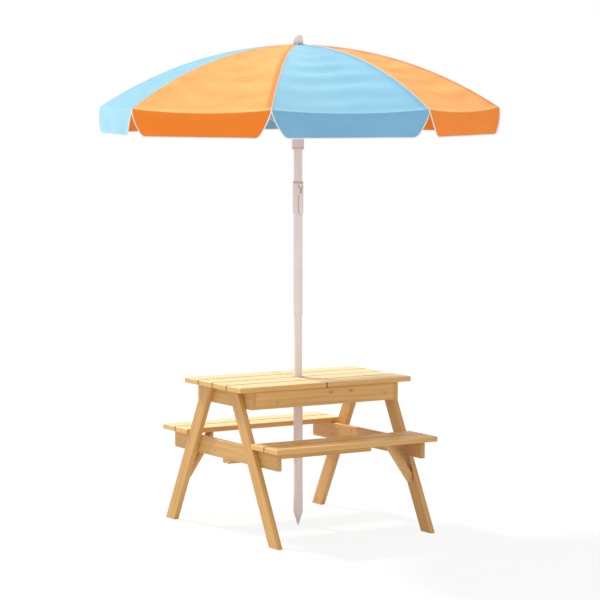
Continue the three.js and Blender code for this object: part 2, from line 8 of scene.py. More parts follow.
import bmesh
import bpy
import numpy as np
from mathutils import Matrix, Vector

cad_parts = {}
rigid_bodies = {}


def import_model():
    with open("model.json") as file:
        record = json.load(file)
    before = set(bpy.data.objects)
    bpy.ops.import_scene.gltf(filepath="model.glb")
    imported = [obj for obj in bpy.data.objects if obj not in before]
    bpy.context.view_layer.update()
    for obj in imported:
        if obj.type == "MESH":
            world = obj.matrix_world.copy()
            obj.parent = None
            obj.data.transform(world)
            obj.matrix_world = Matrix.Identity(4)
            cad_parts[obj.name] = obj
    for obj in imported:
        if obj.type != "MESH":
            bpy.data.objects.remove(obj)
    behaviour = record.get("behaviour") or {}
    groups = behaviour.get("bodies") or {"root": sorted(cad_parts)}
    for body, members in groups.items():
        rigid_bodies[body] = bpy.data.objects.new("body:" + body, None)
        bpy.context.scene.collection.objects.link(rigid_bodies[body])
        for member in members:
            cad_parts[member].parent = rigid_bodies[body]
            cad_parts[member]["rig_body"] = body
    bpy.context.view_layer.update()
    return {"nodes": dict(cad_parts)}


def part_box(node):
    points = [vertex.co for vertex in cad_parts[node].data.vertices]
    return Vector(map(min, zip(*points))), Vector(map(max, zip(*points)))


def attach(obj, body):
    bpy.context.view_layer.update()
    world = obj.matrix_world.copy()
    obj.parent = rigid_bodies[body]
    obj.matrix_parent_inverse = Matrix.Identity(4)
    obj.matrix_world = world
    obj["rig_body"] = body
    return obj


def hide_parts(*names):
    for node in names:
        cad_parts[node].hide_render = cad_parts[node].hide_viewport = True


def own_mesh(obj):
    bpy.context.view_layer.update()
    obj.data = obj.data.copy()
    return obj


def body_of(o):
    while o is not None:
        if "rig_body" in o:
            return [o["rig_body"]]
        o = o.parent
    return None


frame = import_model()

# Parasol cover, as in the part's source
RIBS = 8
CANOPY_TURN = math.radians(6.5)
RIB_ANGLE = 2 * math.pi / RIBS
CANOPY_RADIUS = 0.664
CANOPY_APEX = 1.605
CANOPY_RISE = 0.207
CONE_SHARE = 0.14
CURVE_SHARE = 2.25
CANOPY_HOLE = 0.008
PANEL_SAG = 0.012
RIM_SAG = 0.012
FLAP_DEPTH = 0.087
FLAP_TAPER = 0.043
FLAP_CURVE = 1.6
FLAP_FLARE = 0.008
FLAP_WAVE = 0.0025
CLOTH_THICKNESS = 0.0008

# Cover details
SEAM_RISE = 0.0022
SEAM_WIDTH = 0.012
# Width of the painted shade beside each seam.
SEAM_SHADE_WIDTH = 0.019
WRINKLE_HEIGHT = 0.0042
WRINKLES = 7
WRINKLE_SHIFT = 0.9
WRINKLE_BEND = 0.12
WRINKLE_BENDS = 2.3
CORNER_RADIUS = 0.010
RIDGE_RADIUS = 0.0009
HEM_RADIUS = 0.0019
TAPE_LIFT = 0.0004
CLOTH_CREASE = math.radians(26)

# Folded cover, with the cloth that lies under its neighbours
OVERLAP_OUT = (0.0, 0.3, 0.5, 0.68, 0.8, 1.0)
OVERLAP_SHARES = (1.92, 1.92, 1.69, 1.27, 1.0, 1.0)
OVERLAP_DIP = 0.0012
OVERLAP_BLEND = 0.12

# Marks on the cloth, in metres, and the stitches' phase in radians per metre
CUT_LEVEL = 1.6
THREAD_PITCH = 0.0009
STITCH_REACH = 0.007
STITCH_WIDTH = 0.0005
STITCH_PHASE = 2100
STITCH_DASH = -0.3
STITCH_DEPTH = 2.0
# Width of the painted highlight along the fold at the rim.
HIGHLIGHT_WIDTH = 0.022

# Share of each mark in the cloth's tone
SLOW_SHARE = 0.35
# Painted shade beside the seams.
SEAM_SHADE_SHARE = 0.62
# Painted highlight along the fold at the rim.
HIGHLIGHT_SHARE = 0.35
STITCH_SHARE = 0.35

# Cells of the cover's grid
CELLS_ACROSS = 18
CELLS_OUT = 64
CELLS_DOWN = 14
TUBE_SIDES = 8

# Legs and braces, as in the part's source
LEG_FOOT_REACH = 0.342
LEG_TOP_REACH = 0.084
LEG_HEIGHT = 0.483
LEG_SLOPE = (LEG_FOOT_REACH - LEG_TOP_REACH) / LEG_HEIGHT
LEG_SLANT = math.atan(LEG_SLOPE)
BRACE_SLANT = math.radians(55)

# Screws with pan heads. LEG_SCREWS holds (height, offset) on a leg
SCREW_RADIUS = 0.0038
SCREW_HEIGHT = 0.0015
SCREW_SLOT = 0.0006
SCREW_SLOT_REACH = 0.62
SCREW_SLOT_DEPTH = 0.6
SCREW_SEAT = 0.0002
SCREW_RINGS = 8
SCREW_SPOKES = 24
LEG_SCREWS = ((0.263, 0.01), (0.288, -0.01), (0.44, 0.01), (0.466, -0.01))
STRETCHER_SCREW_INSET = 0.0085
STRETCHER_SCREW_OFFSET = 0.013

# Merged points and smooth faces
SAME_POINT = 1e-6
ROUND_CREASE = math.radians(18)
SCREW_CREASE = math.radians(40)


def srgb(red, green, blue):
    """Linear colour of an 8-bit sRGB one: a straight toe under 10, and a power of 2.4 above it."""
    values = np.array([red, green, blue]) / 255
    linear = np.where(values <= 0.04045, values / 12.92, ((values + 0.055) / 1.055) ** 2.4)
    return (*map(float, linear), 1.0)


# Camera and light

def add_camera():
    """Camera at the photograph's angle, from a fit to measured points."""
    data = bpy.data.cameras.new("camera")
    camera = bpy.data.objects.new("camera", data)
    bpy.context.scene.collection.objects.link(camera)
    look_down, turn = math.radians(4.95), math.radians(-31.52)
    camera.location = (-4.630, -7.562, 1.525)
    camera.rotation_euler = (math.pi / 2 - look_down, 0, turn)
    data.lens = 160.4
    data.sensor_width = 36
    bpy.context.scene.camera = camera


def add_sun():
    """Low sun from the rear left, as the lit panels and the shaded bench show."""
    data = bpy.data.lights.new("sun", "SUN")
    data.energy = 3.3
    data.angle = math.radians(5)
    sun = bpy.data.objects.new("sun", data)
    bpy.context.scene.collection.objects.link(sun)
    azimuth, height = math.radians(107), math.radians(46)
    level = math.cos(height)
    source = Vector((math.cos(azimuth) * level, math.sin(azimuth) * level, math.sin(height)))
    sun.rotation_euler = source.to_track_quat("Z", "Y").to_euler()


def seen_directly(nodes, links):
    """1 for a ray from the camera, a mirror or glass, and 0 for light on a surface."""
    path = nodes.new("ShaderNodeLightPath")
    first = nodes.new("ShaderNodeMath")
    first.operation = "MAXIMUM"
    links.new(path.outputs["Is Camera Ray"], first.inputs[0])
    links.new(path.outputs["Is Glossy Ray"], first.inputs[1])
    second = nodes.new("ShaderNodeMath")
    second.operation = "MAXIMUM"
    links.new(first.outputs[0], second.inputs[0])
    links.new(path.outputs["Is Transmission Ray"], second.inputs[1])
    return second.outputs[0]


def add_world():
    """Even sky light, and plain white where it is seen directly."""
    world = bpy.data.worlds.new("sky")
    bpy.context.scene.world = world
    world.use_nodes = True
    nodes, links = world.node_tree.nodes, world.node_tree.links
    nodes.clear()
    sky = nodes.new("ShaderNodeBackground")
    sky.inputs["Color"].default_value = (0.96, 0.98, 1.0, 1)
    sky.inputs["Strength"].default_value = 0.84
    white = nodes.new("ShaderNodeBackground")
    white.inputs["Color"].default_value = (1, 1, 1, 1)
    white.inputs["Strength"].default_value = 1.0
    mix = nodes.new("ShaderNodeMixShader")
    out = nodes.new("ShaderNodeOutputWorld")
    links.new(seen_directly(nodes, links), mix.inputs["Fac"])
    links.new(sky.outputs[0], mix.inputs[1])
    links.new(white.outputs[0], mix.inputs[2])
    links.new(mix.outputs[0], out.inputs["Surface"])


def add_floor():
    """Wide white floor that keeps a faint shadow."""
    far = 30
    corners = [(-far, -far, 0), (far, -far, 0), (far, far, 0), (-far, far, 0)]
    mesh = bpy.data.meshes.new("floor")
    mesh.from_pydata(corners, [], [(0, 1, 2, 3)])
    floor = bpy.data.objects.new("floor", mesh)
    bpy.context.scene.collection.objects.link(floor)
    material = bpy.data.materials.new("floor_white")
    material.use_nodes = True
    nodes, links = material.node_tree.nodes, material.node_tree.links
    nodes.clear()
    matt = nodes.new("ShaderNodeBsdfDiffuse")
    matt.inputs["Color"].default_value = (0.72, 0.72, 0.72, 1)
    glow = nodes.new("ShaderNodeEmission")
    glow.inputs["Strength"].default_value = 1.0
    share = nodes.new("ShaderNodeMath")
    share.operation = "MULTIPLY"
    share.inputs[1].default_value = 0.88
    mix = nodes.new("ShaderNodeMixShader")
    out = nodes.new("ShaderNodeOutputMaterial")
    links.new(seen_directly(nodes, links), share.inputs[0])
    links.new(share.outputs[0], mix.inputs["Fac"])
    links.new(matt.outputs[0], mix.inputs[1])
    links.new(glow.outputs[0], mix.inputs[2])
    links.new(mix.outputs[0], out.inputs["Surface"])
    mesh.materials.append(material)


add_camera()
add_sun()
add_world()
add_floor()
bpy.context.scene.view_settings.view_transform = "Standard"


# Shader helpers

class Graph:
    """Short calls to add nodes to a material's tree or to a group's."""

    def __init__(self, tree):
        self.nodes = tree.nodes
        self.links = tree.links

    def put(self, value, socket):
        """Links an output to a socket, or sets the socket to a plain value."""
        if isinstance(value, bpy.types.NodeSocket):
            self.links.new(value, socket)
        elif value is not None:
            socket.default_value = value

    def math(self, operation, first, second=None, third=None):
        """Output of a Math node with up to three values."""
        node = self.nodes.new("ShaderNodeMath")
        node.operation = operation
        for socket, value in zip(node.inputs, (first, second, third)):
            self.put(value, socket)
        return node.outputs[0]

    def vector(self, operation, first, second=None):
        """Output of a Vector Math node, a number for a length or a dot product."""
        node = self.nodes.new("ShaderNodeVectorMath")
        node.operation = operation
        self.put(first, node.inputs[0])
        self.put(second, node.inputs[1])
        return node.outputs["Value" if operation in ("LENGTH", "DOT_PRODUCT") else "Vector"]

    def dot(self, first, second):
        """Dot product of two vectors."""
        return self.vector("DOT_PRODUCT", first, second)

    def noise(self, vector, scale, detail, roughness):
        """Noise from 0 to 1 at a scale per metre."""
        node = self.nodes.new("ShaderNodeTexNoise")
        self.put(vector, node.inputs["Vector"])
        node.inputs["Scale"].default_value = scale
        node.inputs["Detail"].default_value = detail
        node.inputs["Roughness"].default_value = roughness
        return node.outputs["Fac"]

    def smooth(self, value, low, high):
        """0 at low, 1 at high, with a smooth step between; low may be above high."""
        node = self.nodes.new("ShaderNodeMapRange")
        node.interpolation_type = "SMOOTHSTEP"
        self.put(value, node.inputs["Value"])
        self.put(low, node.inputs["From Min"])
        self.put(high, node.inputs["From Max"])
        return node.outputs["Result"]

    def mix(self, share, first, second):
        """The first colour at share 0 and the second at 1."""
        node = self.nodes.new("ShaderNodeMix")
        node.data_type = "RGBA"
        colour_a, colour_b, mixed = node.inputs[6], node.inputs[7], node.outputs[2]
        self.put(share, node.inputs["Factor"])
        self.put(first, colour_a)
        self.put(second, colour_b)
        return mixed

    def place(self, vector, location=(0, 0, 0), rotation=(0, 0, 0), scale=(1, 1, 1)):
        """A vector scaled, turned and moved, in that order."""
        node = self.nodes.new("ShaderNodeMapping")
        self.put(vector, node.inputs["Vector"])
        node.inputs["Location"].default_value = location
        node.inputs["Rotation"].default_value = rotation
        node.inputs["Scale"].default_value = scale
        return node.outputs[0]

    def group(self, group, **values):
        """A group node, with its inputs given by name with _ for a space."""
        node = self.nodes.new("ShaderNodeGroup")
        node.node_tree = group
        for name, value in values.items():
            self.put(value, node.inputs[name.replace("_", " ")])
        return node.outputs


def new_group(name, inputs, outputs):
    """Empty shader group with sockets given as {name: (type, default)} and {name: type}."""
    group = bpy.data.node_groups.new(name, "ShaderNodeTree")
    graph = Graph(group)
    for socket, (kind, default) in inputs.items():
        made = group.interface.new_socket(socket, in_out="INPUT", socket_type="NodeSocket" + kind)
        if default is not None:
            made.default_value = default
    for socket, kind in outputs.items():
        group.interface.new_socket(socket, in_out="OUTPUT", socket_type="NodeSocket" + kind)
    given = graph.nodes.new("NodeGroupInput").outputs
    out = graph.nodes.new("NodeGroupOutput").inputs
    return group, graph, given, out


def new_material(name):
    """Material with a Principled shader, and its graph."""
    material = bpy.data.materials.new(name)
    material.use_nodes = True
    graph = Graph(material.node_tree)
    graph.nodes.clear()
    shader = graph.nodes.new("ShaderNodeBsdfPrincipled")
    out = graph.nodes.new("ShaderNodeOutputMaterial")
    graph.links.new(shader.outputs[0], out.inputs["Surface"])
    return material, graph, shader


def bump(graph, height, shader, distance, strength=1.0):
    """Relief on a shader, whose height of 1 stands for a distance in metres."""
    node = graph.nodes.new("ShaderNodeBump")
    graph.put(height, node.inputs["Height"])
    node.inputs["Distance"].default_value = distance
    node.inputs["Strength"].default_value = strength
    graph.links.new(node.outputs[0], shader.inputs["Normal"])


# Pine

def make_pine_figure():
    """Pine with the grain along X: growth rings about a heart outside the board, warped slowly
    along the grain, broad streaks, and fine fibres."""
    group, graph, given, out = new_group(
        "pine_figure",
        {"Vector": ("Vector", None), "Early wood": ("Color", (1, 1, 1, 1)),
         "Late wood": ("Color", (0, 0, 0, 1)), "Contrast": ("Float", 0.5),
         "Ring width": ("Float", 0.006)},
        {"Color": "Color", "Roughness": "Float", "Height": "Float"},
    )

    def drawn_out(stretch, scale, detail, roughness):
        """Noise that runs on along the grain by the stretch's inverse."""
        stretched = graph.place(given["Vector"], scale=(stretch, 1, 1))
        return graph.noise(stretched, scale, detail, roughness)

    ring_warp = 0.034
    ring_share, streak_share, fibre_share, blotch_share = 0.42, 0.42, 0.12, 0.22
    reach = graph.vector("LENGTH", graph.place(given["Vector"], scale=(0, 1, 1)))
    warped = graph.math("MULTIPLY_ADD", drawn_out(0.10, 14, 2, 0.5), ring_warp, reach)
    phase = graph.math("FRACT", graph.math("DIVIDE", warped, given["Ring width"]))
    late = graph.math("MULTIPLY", graph.smooth(phase, 0.25, 0.85), graph.smooth(phase, 1.0, 0.88))
    broad = graph.smooth(drawn_out(0.05, 60, 3, 0.6), 0.38, 0.68)
    fine = graph.smooth(drawn_out(0.018, 620, 2, 0.6), 0.3, 0.75)
    blotch = graph.smooth(drawn_out(0.3, 9, 2, 0.5), 0.35, 0.7)
    share = graph.math("MULTIPLY", late, ring_share)
    share = graph.math("MULTIPLY_ADD", broad, streak_share, share)
    share = graph.math("MULTIPLY_ADD", fine, fibre_share, share)
    share = graph.math("MULTIPLY_ADD", blotch, blotch_share, share)
    share = graph.math("MULTIPLY", share, given["Contrast"])
    graph.put(graph.mix(share, given["Early wood"], given["Late wood"]), out["Color"])
    graph.put(graph.math("MULTIPLY_ADD", fine, 0.12, 0.44), out["Roughness"])
    graph.put(graph.math("MULTIPLY_ADD", late, 0.5, fine), out["Height"])
    return group


def make_knot():
    """Round knot: 1 inside an ellipse about its centre that is longer along the grain, with a
    soft rim."""
    group, graph, given, out = new_group(
        "knot",
        {"Vector": ("Vector", None), "Centre": ("Vector", (0, 0, 0)), "Radius": ("Float", 0.008)},
        {"Knot": "Float", "Ring": "Float"},
    )
    apart = graph.vector("SUBTRACT", given["Vector"], given["Centre"])
    ragged = graph.noise(given["Vector"], 160, 2, 0.5)
    stretched = graph.place(apart, scale=(0.6, 1, 1))
    reach = graph.math("DIVIDE", graph.vector("LENGTH", stretched), given["Radius"])
    reach = graph.math("MULTIPLY_ADD", ragged, 0.5, reach)
    graph.put(graph.smooth(reach, 1.3, 0.75), out["Knot"])
    graph.put(graph.smooth(reach, 2.6, 1.1), out["Ring"])
    return group


PINE_FIGURE = make_pine_figure()
KNOT = make_knot()
HONEY = (srgb(229, 181, 108), srgb(194, 140, 74))
AMBER = (srgb(214, 165, 94), srgb(179, 128, 65))
# Painted light: paler tones for the tops of the lid planks and the rear bench, for the light that
# falls on them.
PAINTED_LIT_TOP = (srgb(238, 212, 156), srgb(222, 180, 118))
KNOT_BROWN = srgb(160, 104, 58)
KNOT_HALO = srgb(206, 146, 84)
# Painted shade at the rounded plank edges beside the gaps.
PAINTED_GAP_SHADE = srgb(126, 84, 44)
PLANK_PITCH = 0.0925
PLANK_GAPS_REACH = 0.12
BENCH_GAP_REACH = 0.2935
TOP_SHADE = (0.0085, 0.003)
END_SHADE = (0.0046, 0.0022)
HALO_SHARE = 0.5
KNOT_SHARE = 0.65
GAP_SHADE_SHARE = 0.6


def looks_up(graph):
    """1 on faces that look up."""
    facing = graph.nodes.new("ShaderNodeSeparateXYZ")
    graph.put(graph.nodes.new("ShaderNodeTexCoord").outputs["Normal"], facing.inputs[0])
    return graph.math("GREATER_THAN", facing.outputs[2], 0.5)


def gap_shade(graph, coordinates, level, gaps):
    """Mask of painted shade at the rounded edges beside a gap between two planks and at the seam of
    the lids: 1 there, wide on a face that looks up, and narrow on an end."""
    parts = graph.nodes.new("ShaderNodeSeparateXYZ")
    graph.put(coordinates, parts.inputs[0])
    depth = graph.math("ABSOLUTE", parts.outputs[1])
    if gaps == "bench":
        apart = graph.math("ABSOLUTE", graph.math("SUBTRACT", depth, BENCH_GAP_REACH))
    else:
        between = graph.math("PINGPONG", depth, PLANK_PITCH / 2)
        outside = graph.math("GREATER_THAN", depth, PLANK_GAPS_REACH)
        lines = graph.math("ADD", between, outside)
        apart = graph.math("MINIMUM", lines, graph.math("ABSOLUTE", parts.outputs[0]))
    wide = graph.math("MULTIPLY", graph.smooth(apart, *TOP_SHADE), level)
    narrow = graph.smooth(apart, *END_SHADE)
    return graph.math("MAXIMUM", wide, narrow)


def graph_point(graph, point):
    """A fixed point as a vector output."""
    node = graph.nodes.new("ShaderNodeCombineXYZ")
    for socket, value in zip(node.inputs, point):
        socket.default_value = value
    return node.outputs[0]


def pine(name, turn, seed, tones=HONEY, lit_top_tones=None, knots=(), contrast=0.62, gaps=None):
    """Pine for one board. turn is the Euler turn that lays the board's grain along X, and knots
    are (x, y, z, radius) in metres. The tones for faces that look up are painted light: paler
    tops that stand in for the stronger light on them. gaps tells which plank edges are rounded
    off and get painted shade."""
    material, graph, shader = new_material(name)
    coordinates = graph.nodes.new("ShaderNodeTexCoord").outputs["Object"]
    rng = np.random.default_rng(seed)
    heart = (rng.uniform(0, 3), rng.uniform(0.05, 0.12), rng.uniform(0.06, 0.14))
    grain = graph.place(coordinates, rotation=turn)
    level = looks_up(graph)
    early, late = tones
    # Painted light: faces that look up take the paler tones.
    if lit_top_tones:
        early, late = (graph.mix(level, side, top) for side, top in zip(tones, lit_top_tones))
    figure = graph.group(
        PINE_FIGURE, Vector=graph.place(grain, location=heart), Early_wood=early, Late_wood=late,
        Contrast=contrast, Ring_width=float(rng.uniform(0.010, 0.017)),
    )
    colour = figure["Color"]
    for x, y, z, radius in knots:
        centre = graph.place(graph_point(graph, (x, y, z)), rotation=turn)
        knot = graph.group(KNOT, Vector=grain, Centre=centre, Radius=radius)
        colour = graph.mix(graph.math("MULTIPLY", knot["Ring"], HALO_SHARE), colour, KNOT_HALO)
        colour = graph.mix(graph.math("MULTIPLY", knot["Knot"], KNOT_SHARE), colour, KNOT_BROWN)
    if gaps:
        # Painted shade along the rounded edges beside the gaps.
        shade = graph.math("MULTIPLY", gap_shade(graph, coordinates, level, gaps), GAP_SHADE_SHARE)
        colour = graph.mix(shade, colour, PAINTED_GAP_SHADE)
    graph.put(colour, shader.inputs["Base Color"])
    graph.put(figure["Roughness"], shader.inputs["Roughness"])
    bump(graph, figure["Height"], shader, distance=0.0002, strength=0.5)
    return material


def dress(name, material):
    """Gives a CAD node its material."""
    node = frame["nodes"][name]
    node.data.materials.clear()
    node.data.materials.append(material)


KNOTS = {
    "front_panel": [(0.0194, -0.176, 0.466, 0.005), (0.0974, -0.176, 0.4658, 0.005),
                    (0.2314, -0.176, 0.4516, 0.003), (-0.1866, -0.176, 0.4432, 0.003)],
    "right_beam": [(0.267, 0.0865, 0.2905, 0.005), (0.267, 0.1632, 0.2886, 0.004)],
    "left_beam": [(-0.284, 0.0601, 0.266, 0.005), (-0.284, 0.0694, 0.2883, 0.003)],
    "front_right_leg": [(0.284, -0.2581, 0.1715, 0.009)],
    "rear_right_leg": [(0.284, 0.3425, 0.0164, 0.006)],
}


def dress_boards():
    """Every board in pine with its own figure, the grain along its length."""
    along = [name for name in frame["nodes"] if "plank" in name]
    along += ["front_panel", "rear_panel", "stretcher"]
    across = [name for name in frame["nodes"] if "batten" in name]
    across += ["left_side_board", "right_side_board", "left_beam", "right_beam"]
    across += ["left_divider", "right_divider"]
    turns = {name: (0, 0, 0) for name in along}
    turns.update({name: (0, 0, -math.pi / 2) for name in across})
    for side in ("left", "right"):
        turns[f"front_{side}_leg"] = (LEG_SLANT - math.pi / 2, 0, -math.pi / 2)
        turns[f"rear_{side}_leg"] = (math.pi / 2 - LEG_SLANT, 0, -math.pi / 2)
    turns["front_right_brace"] = (0, -BRACE_SLANT, 0)
    turns["rear_left_brace"] = (0, BRACE_SLANT, 0)
    for seed, (name, turn) in enumerate(sorted(turns.items())):
        tones = AMBER if "_leg" in name or "_beam" in name or "side_board" in name else HONEY
        # The lid planks and the rear bench get painted light on their tops.
        lit_top_tones = PAINTED_LIT_TOP if "lid_plank" in name or "rear_bench" in name else None
        gaps = "lid" if "lid_plank" in name else "bench" if "bench" in name else None
        knots = KNOTS.get(name, ())
        dress(name, pine("pine_" + name, turn, seed, tones, lit_top_tones, knots, gaps=gaps))
    dress("sandbox_floor", pine("sheet_wood", (0, 0, 0), 99, HONEY, contrast=0.4))


dress_boards()


# Plain finishes

def make_mark():
    """1 on a stroke between two points as seen along Y, with a soft edge of its own width."""
    group, graph, given, out = new_group(
        "mark",
        {"Vector": ("Vector", None), "Start": ("Vector", (0, 0, 0)), "End": ("Vector", (0, 0, 1)),
         "Width": ("Float", 0.001)},
        {"Mark": "Float"},
    )
    flat = graph.place(given["Vector"], scale=(1, 0, 1))
    apart = graph.vector("SUBTRACT", flat, given["Start"])
    along = graph.vector("SUBTRACT", given["End"], given["Start"])
    share = graph.math("DIVIDE", graph.dot(apart, along), graph.dot(along, along))
    share = graph.math("MINIMUM", graph.math("MAXIMUM", share, 0.0), 1.0)
    nearest = graph.nodes.new("ShaderNodeVectorMath")
    nearest.operation = "SCALE"
    graph.put(along, nearest.inputs[0])
    graph.put(share, nearest.inputs["Scale"])
    reach = graph.vector("LENGTH", graph.vector("SUBTRACT", apart, nearest.outputs[0]))
    graph.put(graph.smooth(graph.math("DIVIDE", reach, given["Width"]), 1.4, 0.4), out["Mark"])
    return group


MARK = make_mark()


def speckled(name, colour, roughness, metallic=0.0, grain=900, depth=0.00006, shade_strokes=(), shade_bands=()):
    """Painted or moulded finish: one colour that drifts a little, with a fine orange peel.
    The strokes (x, z, x, z, width) are painted shade in slots and grooves on the front, and the
    bands (height, half width) are rings of painted shade at rims and flanges."""
    drift_tone, stroke_share, band_share, peel_share = 0.92, 0.8, 0.5, 0.12
    material, graph, shader = new_material(name)
    coordinates = graph.nodes.new("ShaderNodeTexCoord").outputs["Object"]
    drift = graph.noise(coordinates, 7, 2, 0.5)
    peel = graph.noise(coordinates, grain, 2, 0.5)
    darker = tuple(drift_tone * value for value in colour[:3]) + (1.0,)
    tone = graph.mix(graph.smooth(drift, 0.3, 0.7), colour, darker)
    parts = graph.nodes.new("ShaderNodeSeparateXYZ")
    graph.put(coordinates, parts.inputs[0])
    front = graph.math("LESS_THAN", parts.outputs[1], 0.0)
    # Painted shade in slots and grooves, on the front only.
    for x, z, end_x, end_z, width in shade_strokes:
        mark = graph.group(
            MARK, Vector=coordinates, Start=(x, 0, z), End=(end_x, 0, end_z), Width=width)
        share = graph.math("MULTIPLY", mark["Mark"], graph.math("MULTIPLY", front, stroke_share))
        tone = graph.mix(share, tone, PAINTED_SLOT_SHADE)
    # Rings of painted shade.
    for height, half in shade_bands:
        apart = graph.math("ABSOLUTE", graph.math("SUBTRACT", parts.outputs[2], height))
        ring = graph.smooth(apart, 1.3 * half, 0.5 * half)
        tone = graph.mix(graph.math("MULTIPLY", ring, band_share), tone, PAINTED_SLOT_SHADE)
    graph.put(tone, shader.inputs["Base Color"])
    rough = graph.math("MULTIPLY_ADD", peel, peel_share, roughness - peel_share / 2)
    graph.put(rough, shader.inputs["Roughness"])
    shader.inputs["Metallic"].default_value = metallic
    bump(graph, peel, shader, depth)
    return material


def merge(source, target):
    """Puts a mesh into another, with points that meet made one, which closes poles and seams."""
    shape = bmesh.new()
    shape.from_mesh(source)
    bmesh.ops.remove_doubles(shape, verts=shape.verts, dist=SAME_POINT)
    shape.to_mesh(target)
    shape.free()


def smooth_copy(name, material):
    """Merged copy of a CAD node, smooth where its faces nearly meet."""
    node = frame["nodes"][name]
    mesh = bpy.data.meshes.new(name + "_smooth")
    merge(node.data, mesh)
    mesh.polygons.foreach_set("use_smooth", np.ones(len(mesh.polygons), bool))
    mesh.set_sharp_from_angle(angle=ROUND_CREASE)
    mesh.materials.clear()
    mesh.materials.append(material)
    made = bpy.data.objects.new(name + "_smooth", mesh)
    made.matrix_world = node.matrix_world
    bpy.context.scene.collection.objects.link(made)
    return made


# Painted shade for slots, grooves, rims and flanges.
PAINTED_SLOT_SHADE = srgb(150, 112, 104)
POLE_PAINT = speckled("pole_paint", srgb(242, 229, 225), 0.4)
MOULDING = speckled("pale_moulding", srgb(240, 226, 222), 0.5, grain=500, depth=0.0001)
# Painted shade in the slots beside the lever's neck and at the collar's rim.
COLLAR = speckled(
    "collar_moulding", srgb(240, 226, 222), 0.5, grain=500, depth=0.0001, shade_bands=[(1.1475, 0.0016)],
    shade_strokes=[(-0.0085, 1.138, -0.001, 1.125, 0.0019), (0.0085, 1.138, 0.001, 1.125, 0.0019),
             (0, 1.125, 0, 1.112, 0.0019)])
# Painted shade in the slot above the lever and along its left and lower edges.
LEVER = speckled(
    "lever_moulding", srgb(244, 230, 226), 0.5, grain=500, depth=0.0001,
    shade_strokes=[(0, 1.125, 0, 1.112, 0.0019), (-0.0075, 1.104, -0.0075, 1.046, 0.001),
             (-0.006, 1.044, 0.002, 1.042, 0.0012)])
# Painted shade along the runner's flange.
RUNNER = speckled(
    "runner_moulding", srgb(236, 220, 215), 0.5, grain=500, depth=0.0001,
    shade_bands=[(1.2632, 0.0014)])
ROD_STEEL = speckled("rod_steel", srgb(214, 214, 216), 0.38, metallic=0.75)
PIN_STEEL = speckled("pin_steel", srgb(196, 190, 178), 0.32, metallic=1.0)
SCREW_STEEL = speckled("screw_steel", srgb(196, 156, 98), 0.45, metallic=1.0)

ROUND = {
    "lower_pole": POLE_PAINT, "outer_pole": POLE_PAINT, "upper_pole": POLE_PAINT,
    "ground_spike": MOULDING, "clamp_collar": COLLAR, "finial": MOULDING, "runner": RUNNER,
}


def dress_pole():
    """The pole, its clamp and the folding frame, with smooth copies for the round pieces."""
    for name, material in ROUND.items():
        copy = smooth_copy(name, material)
        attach(copy, body_of(frame["nodes"][name])[0])
        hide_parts(name)
    dress("clamp_lever", LEVER)
    dress("crown", MOULDING)
    dress("clamp_pin", PIN_STEEL)
    for index in range(1, RIBS + 1):
        dress(f"rib_{index}", ROD_STEEL)
        dress(f"strut_{index}", ROD_STEEL)


dress_pole()


# Cover

